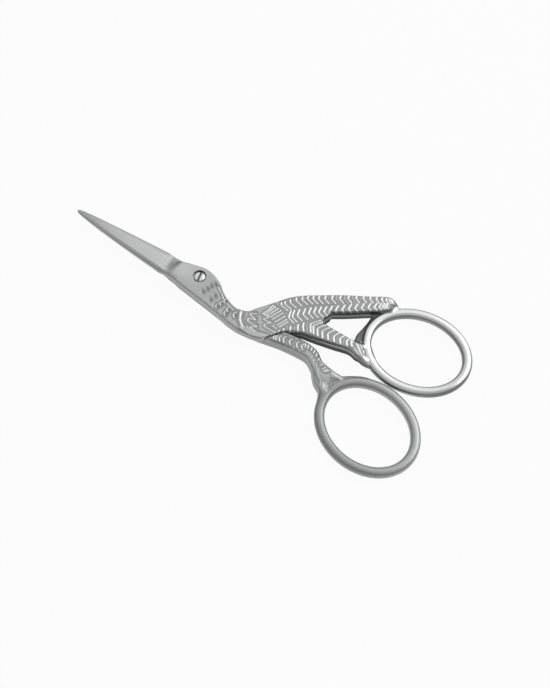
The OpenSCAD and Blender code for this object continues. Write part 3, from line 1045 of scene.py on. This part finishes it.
# %% Zones and finishing
SHARP = math.radians(32)
PIT_SHADE = 0.33


def rise(values, start, end):
    """0 before the start, 1 after the end, a straight slope between."""
    return np.clip((values - start) / (end - start), 0, 1)


def band_distance(points, centre, tilt):
    """About how far each point lies outside the oval middle line of a ring's band."""
    u, v = turned((points[:, 0] - centre[0], points[:, 1] - centre[1]), -tilt)
    return (np.hypot(u / RING_A, v / RING_B) - 1) * (RING_A + RING_B) / 2


def ring_nearness(points, centre, tilt):
    """1 on the ring's band, falling to 0 beside, above and below it."""
    near = rise(np.abs(band_distance(points, centre, tilt)), 1.3, 1.1)
    return near * rise(np.abs(points[:, 2] - MIDDLE), 1.25, 1.1)


def front_polish(points):
    """The upper ring, but not on the side of the window."""
    x, y = points[:, :2].T
    window_side = rise(x, 37.5, 36.5) * rise(y, 4.5, 6) * rise(band_distance(points, *FRONT_RING), 0.3, 0.55)
    return ring_nearness(points, *FRONT_RING) * (1 - window_side)


def back_polish(points):
    """The lower ring."""
    return ring_nearness(points, *BACK_RING)


def walls_of(normals):
    """1 on upright walls, 0 on the faces."""
    return rise(np.abs(normals[:, 2]), 0.6, 0.4)


def front_painted_shade(points, normals):
    """Painted shade in the window, on the wall towards the back leg, in the recess, at the foot of every wall, on the
    slopes and at the plunge.
    """
    x, y, z = points.T
    walls = walls_of(normals)
    low_web = rise(z, 2.8, 2.68) * rise(band_distance(points, *FRONT_RING), 0.3, 0.55) * rise(normals[:, 2], 0, 0.3)
    inside = y - TAIL_ROOT[1] - (x - TAIL_ROOT[0]) * (TAIL_END[1] - TAIL_ROOT[1]) / (TAIL_END[0] - TAIL_ROOT[0])
    window = rise(x, 26, 27) * rise(x, 37.5, 36.5) * rise(y, 4, 5) * rise(inside, 0.4, -0.2)
    window *= np.maximum(walls, low_web) * (1 - 0.45 * rise(np.abs(z - 1.9), 0.6, 0.3))
    inner = rise(x, 20, 23) * rise(x, 42, 38) * rise(-normals[:, 1], 0.2, 0.5) * rise(y, 6, 4) * rise(z, 2.6, 1.9)
    recess = rise(np.hypot(x, y), 1.6, 1.5) * rise(z, THICKNESS, THICKNESS - 0.1)
    under_blade = 0.5 * rise(x, 9, 5) * rise(z, 2.1, 1.85)
    slope = (0.2 + 0.3 * rise(y, 8, 12)) * rise(x, 35.4, 36.2) * rise(x, 39.5, 38.5) * rise(z, 2.6, 2.8)
    slope *= rise(normals[:, 2], 0.99, 0.96) * (1 - walls)
    shadow = 0.35 * rise(x, -6.9, -6.4) * rise(x, -4.8, -5.2) * rise(y, -0.8, 0.6) * (1 - walls)
    at_walls = walls * np.maximum.reduce([inner, recess, under_blade, 0.5 * rise(z, 0.6, 0.15)])
    return np.maximum.reduce([window, slope, shadow, at_walls])


def back_painted_shade(points, normals):
    """Painted shade on the wall under the front blade, on the back leg's wall towards the front half and at the foot
    of every wall.
    """
    x, z = points[:, 0], points[:, 2]
    inner = 0.7 * rise(x, 19, 23) * rise(x, 37, 34) * rise(normals[:, 1], 0.2, 0.5)
    under_blade = 0.6 * rise(x, 9, 5)
    return walls_of(normals) * np.maximum.reduce([inner, under_blade, 0.5 * rise(z, 0.6, 0.15)])


def screw_painted_shade(points, normals):
    """Painted shade in the slot and on the head's side in the recess: all that lies below the rim."""
    rim = THICKNESS - HEAD_SINK - DOME
    return 0.95 * rise(points[:, 2], rim - 0.01, rim - 0.05)


def painted_sheen_at(points, outwards):
    """Painted sheen, brightest on the blade's wide outer face and on the head in front of the screw."""
    x, y = points[:, :2].T
    blade = (0.72 + 0.28 * rise(x, -25, -10)) * rise(x, -6.2, -7.6)
    head = 0.62 * rise(x, -5.3, -5.05) * rise(x, 1.5, -3.5) * rise(y, -3.0, -1.2)
    return (blade + head) * rise(outwards, 0.8, 0.93)


def front_painted_sheen(points, normals):
    """Painted sheen on the front half's ground faces, and painted shade on the upper ring's far end."""
    return painted_sheen_at(points, normals[:, 2]) - 0.8 * rise(points[:, 0], 50, 56) * ring_nearness(points, *FRONT_RING)


def back_painted_sheen(points, normals):
    """Painted sheen on the back half's ground faces, and a painted highlight on the upper right side of the lower
    ring.
    """
    along = points[:, 0] + points[:, 1] - BACK_CENTRE.sum()
    return painted_sheen_at(points, -normals[:, 2]) + 0.55 * rise(along, -8, 8) * ring_nearness(points, *BACK_RING)


def store(made, name, values):
    """Keeps one number for each vertex."""
    made.data.attributes.new(name, "FLOAT", "POINT").data.foreach_set("value", values)


def finish_piece(made, material, node, body, painted_shade, strokes=(), pits=(), polished=None, ground=None):
    """Writes the zones, sets the finish and joins the piece to the frame."""
    mesh = made.data
    points = coordinates(mesh)
    normals = np.array([v.normal for v in mesh.vertices])
    top = on_face(points[:, 0], points[:, 2]).astype(float)
    ridge, bed = relief_at(points[:, :2], strokes, pits)
    polish = polished(points) if polished else np.zeros(len(points))
    up = np.abs(normals[:, 2])
    store(made, "ridge", ridge * top)
    store(made, "bed", bed * top)
    store(made, "polish", polish)
    # Painted shade by the normal: walls and steep ring flanks get darker.
    store(made, "flank_shade", np.maximum(rise(up, 0.75, 0.1), polish * rise(up, 0.97, 0.5)))
    # From the piece's function: painted sheen on ground faces, and on the rings painted shade at the upper one's end
    # and a painted highlight on the lower one.
    store(made, "ground", ground(points, normals) if ground else np.zeros(len(points)))
    pitted = pit_at(points[:, :2], pits) * PIT_SHADE * top
    # Painted shade: the places from the piece's function, and the pits.
    store(made, "painted_shade", np.maximum((1 - polish) * painted_shade(points, normals), pitted))
    mesh.transform(Matrix.Scale(MM, 4))
    mesh.shade_smooth()
    mesh.set_sharp_from_angle(angle=SHARP)
    mesh.materials.clear()
    mesh.materials.append(material)
    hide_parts(node)
    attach(made, body)
    print(made.name, "rides on", body)


finish_piece(
    front, front_steel, "front_half", "front", front_painted_shade, front_strokes, neck_pits, front_polish,
    front_painted_sheen
)
finish_piece(
    back, back_steel, "back_half", "back", back_painted_shade, leg_strokes, (), back_polish, back_painted_sheen
)
finish_piece(screw, screw_steel, "pivot_screw", "back", screw_painted_shade)

# %% [markdown]
# The scissors lie on a plain pale floor under a soft studio sky: bright overhead and darker towards the horizon,
# as between the lamps of a real studio, so that the steel has something to reflect. Only the lowest strip of sky
# is nearly white. A softbox stands in the sky behind the scissors, where the flat faces mirror it, and one large
# lamp beside it gives the broad highlights. For the camera and in reflections the floor is nearly pure white, and
# keeps a little of the real shadow.

# %% Floor and light
FLOOR_GLOW = 0.94
FLOOR_REACH = 20.0
SEEN_BY = ("Camera", "Glossy", "Transmission")
SOFTBOX = (110, 50)
bpy.context.scene.view_settings.view_transform = "Standard"

bm = bmesh.new()
bmesh.ops.create_grid(bm, x_segments=1, y_segments=1, size=FLOOR_REACH)
bmesh.ops.translate(bm, vec=(0, 0, cad_low.z - 0.00002), verts=bm.verts)
floor = as_object("floor", bm)
floor_paint, floor_shader, floor_place = new_material("pale_floor")
floor_shader.inputs["Base Color"].default_value = (0.95, 0.95, 0.95, 1)
floor_shader.inputs["Roughness"].default_value = 0.9
floor_shader.inputs["Specular IOR Level"].default_value = 0.0
seen = sum(floor_place.node("ShaderNodeLightPath", {}, {}, output=f"Is {kind} Ray") for kind in SEEN_BY)
white = floor_place.node("ShaderNodeEmission", {}, {"Strength": 1.0})
lit = Wire(floor_place.tree, floor_shader.outputs[0])
mixed = floor_place.node("ShaderNodeMixShader", {}, {0: seen * FLOOR_GLOW, 1: lit, 2: white})
floor_out = next(n for n in floor_place.tree.nodes if n.type == "OUTPUT_MATERIAL")
floor_place.tree.links.new(mixed.socket, floor_out.inputs["Surface"])
floor.data.materials.append(floor_paint)

world = bpy.data.worlds.new("studio")
bpy.context.scene.world = world
world.use_nodes = True
world.node_tree.nodes.clear()
sky = Wire(world.node_tree, world.node_tree.nodes.new("ShaderNodeTexCoord").outputs["Generated"])
height = sky.node("ShaderNodeSeparateXYZ", {}, {"Vector": sky}, output=2)
turn, lift = math.radians(SOFTBOX[0]), math.radians(SOFTBOX[1])
softbox = (math.cos(turn) * math.cos(lift), math.sin(turn) * math.cos(lift), math.sin(lift))
facing = sky.node("ShaderNodeVectorMath", {"operation": "DOT_PRODUCT"}, {0: sky, 1: softbox}, output="Value")
room = remapped(height, (0.1, 0.6), (0.3, 0.58))
panel = remapped(facing, (0.80, 0.93), (0.0, 0.4))
backdrop = remapped(height, (0.015, 0.03), (0.68, 0.0))
light = sky.node("ShaderNodeBackground", {}, {"Strength": room + panel + backdrop})
world_out = world.node_tree.nodes.new("ShaderNodeOutputWorld")
world.node_tree.links.new(light.socket, world_out.inputs["Surface"])


def lamp(name, around, above, distance, size, power):
    """A square soft lamp that looks at the scissors from a direction in degrees."""
    data = bpy.data.lights.new(name, "AREA")
    data.size = size
    data.energy = power
    made = bpy.data.objects.new(name, data)
    bpy.context.scene.collection.objects.link(made)
    a, e = math.radians(around), math.radians(above)
    way = Vector((math.cos(a) * math.cos(e), math.sin(a) * math.cos(e), math.sin(e)))
    made.location = AIM + way * distance
    made.rotation_euler = (-way).to_track_quat("-Z", "Y").to_euler()


lamp("key", around=60, above=42, distance=0.9, size=0.8, power=2.4)
